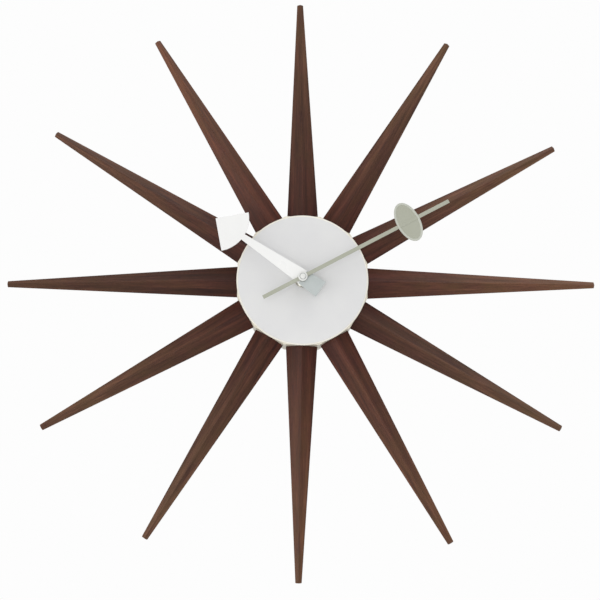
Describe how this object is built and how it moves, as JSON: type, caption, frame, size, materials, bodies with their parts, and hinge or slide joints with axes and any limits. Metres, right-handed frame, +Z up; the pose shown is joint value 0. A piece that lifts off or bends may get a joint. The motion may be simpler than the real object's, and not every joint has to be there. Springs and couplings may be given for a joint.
{
  "type": "sunburst wall clock",
  "caption": "Wall clock with tapered wooden spikes standing out of a low many-sided drum, a plain round dial, an hour and a minute hand, and a battery movement.",
  "frame": {"origin": "on the axis of the hands, in the plane of the wall (the back plate's rear face)", "axes": "+Y into the wall, so the dial faces -Y; +Z up towards 12 o'clock; +X towards 3 o'clock"},
  "size_m": [0.47, 0.052, 0.47],
  "materials": {
    "spike_walnut": "satin",
    "dial_lacquer": "satin",
    "drum_lacquer": "satin",
    "plate_steel": "satin",
    "screw_steel": "satin",
    "washer_brass": "satin",
    "hour_hand_lacquer": "satin",
    "hub_nickel": "polished",
    "minute_hand_lacquer": "satin",
    "cap_lacquer": "gloss",
    "rubber": "matte",
    "case_black": "matte",
    "train_nylon": "satin",
    "bobbin_resin": "satin",
    "coil_copper": "gloss",
    "stator_steel": "satin",
    "magnet": "satin",
    "gear_brass": "satin",
    "knob_black": "satin",
    "board_green": "satin",
    "chip_black": "matte",
    "battery_jacket": "gloss",
    "contact_nickel": "satin"
  },
  "bodies": {
    "clock_body": {"spike_01": "spike_walnut", "spike_02": "spike_walnut", "spike_03": "spike_walnut", "spike_04": "spike_walnut", "spike_05": "spike_walnut", "spike_06": "spike_walnut", "spike_07": "spike_walnut", "spike_08": "spike_walnut", "spike_09": "spike_walnut", "spike_10": "spike_walnut", "spike_11": "spike_walnut", "spike_12": "spike_walnut", "dial_disc": "dial_lacquer", "drum_case": "drum_lacquer", "back_plate": "plate_steel", "back_plate_screws": "screw_steel", "spike_screws": "screw_steel", "spike_washers": "washer_brass", "spike_pins": "screw_steel", "mounting_nut": "hub_nickel", "mounting_washer": "hub_nickel", "rubber_washer": "rubber", "threaded_bush": "hub_nickel", "movement_front_case": "case_black", "movement_rear_case": "case_black", "train_plate": "train_nylon", "coil_bobbin": "bobbin_resin", "coil_winding": "coil_copper", "coil_core": "stator_steel", "stator_plate": "stator_steel", "core_screws": "gear_brass", "circuit_board": "board_green", "quartz_crystal": "stator_steel", "clock_chip": "chip_black", "negative_contact": "contact_nickel", "positive_contact": "contact_nickel"},
    "minute_work": {"minute_hand": "minute_hand_lacquer", "minute_hand_bush": "hub_nickel", "hand_cap": "cap_lacquer", "minute_arbor": "gear_brass", "centre_wheel": "gear_brass"},
    "hour_work": {"hour_hand": "hour_hand_lacquer", "hour_hand_bush": "hub_nickel", "hour_wheel": "train_nylon"},
    "motion_work": {"motion_wheel": "train_nylon"},
    "third_work": {"third_wheel": "train_nylon"},
    "seconds_work": {"seconds_wheel": "train_nylon"},
    "intermediate_work": {"intermediate_wheel": "train_nylon"},
    "rotor_work": {"rotor": "train_nylon", "rotor_magnet": "magnet"},
    "setting_work": {"setting_pinion": "train_nylon", "setting_knob": "knob_black"},
    "battery_cell": {"battery": "battery_jacket"}
  },
  "joints": [
    {"name": "minute_turn", "type": "hinge", "parent": "clock_body", "child": "minute_work", "pos_m": [0, -0.025, 0], "axis": [0, 1, 0], "continuous": true},
    {"name": "hour_turn", "type": "hinge", "parent": "clock_body", "child": "hour_work", "pos_m": [0, -0.025, 0], "axis": [0, 1, 0], "continuous": true},
    {"name": "motion_turn", "type": "hinge", "parent": "clock_body", "child": "motion_work", "pos_m": [-0.00789, -0.025, -0.00287], "axis": [0, 1, 0], "continuous": true},
    {"name": "third_turn", "type": "hinge", "parent": "clock_body", "child": "third_work", "pos_m": [0.00846, -0.025, 0.00308], "axis": [0, 1, 0], "continuous": true},
    {"name": "seconds_turn", "type": "hinge", "parent": "clock_body", "child": "seconds_work", "pos_m": [0, -0.025, 0], "axis": [0, 1, 0], "continuous": true},
    {"name": "intermediate_turn", "type": "hinge", "parent": "clock_body", "child": "intermediate_work", "pos_m": [-0.00737, -0.025, 0.00516], "axis": [0, 1, 0], "continuous": true},
    {"name": "rotor_turn", "type": "hinge", "parent": "clock_body", "child": "rotor_work", "pos_m": [-0.01404, -0.025, 0.00901], "axis": [0, 1, 0], "continuous": true},
    {"name": "setting_turn", "type": "hinge", "parent": "clock_body", "child": "setting_work", "pos_m": [-0.01517, -0.025, 0.00133], "axis": [0, 1, 0], "continuous": true},
    {"name": "battery_slide", "type": "slide", "parent": "clock_body", "child": "battery_cell", "axis": [0, 1, 0], "range_m": [0, 0.04]}
  ],
  "couplings": [
    {"joint": "hour_turn", "follows": "minute_turn", "ratio": 0.083333},
    {"joint": "motion_turn", "follows": "minute_turn", "ratio": -0.33333},
    {"joint": "third_turn", "follows": "minute_turn", "ratio": -8},
    {"joint": "seconds_turn", "follows": "minute_turn", "ratio": 60},
    {"joint": "intermediate_turn", "follows": "minute_turn", "ratio": -300},
    {"joint": "rotor_turn", "follows": "minute_turn", "ratio": 1800},
    {"joint": "setting_turn", "follows": "minute_turn", "ratio": 1}
  ]
}
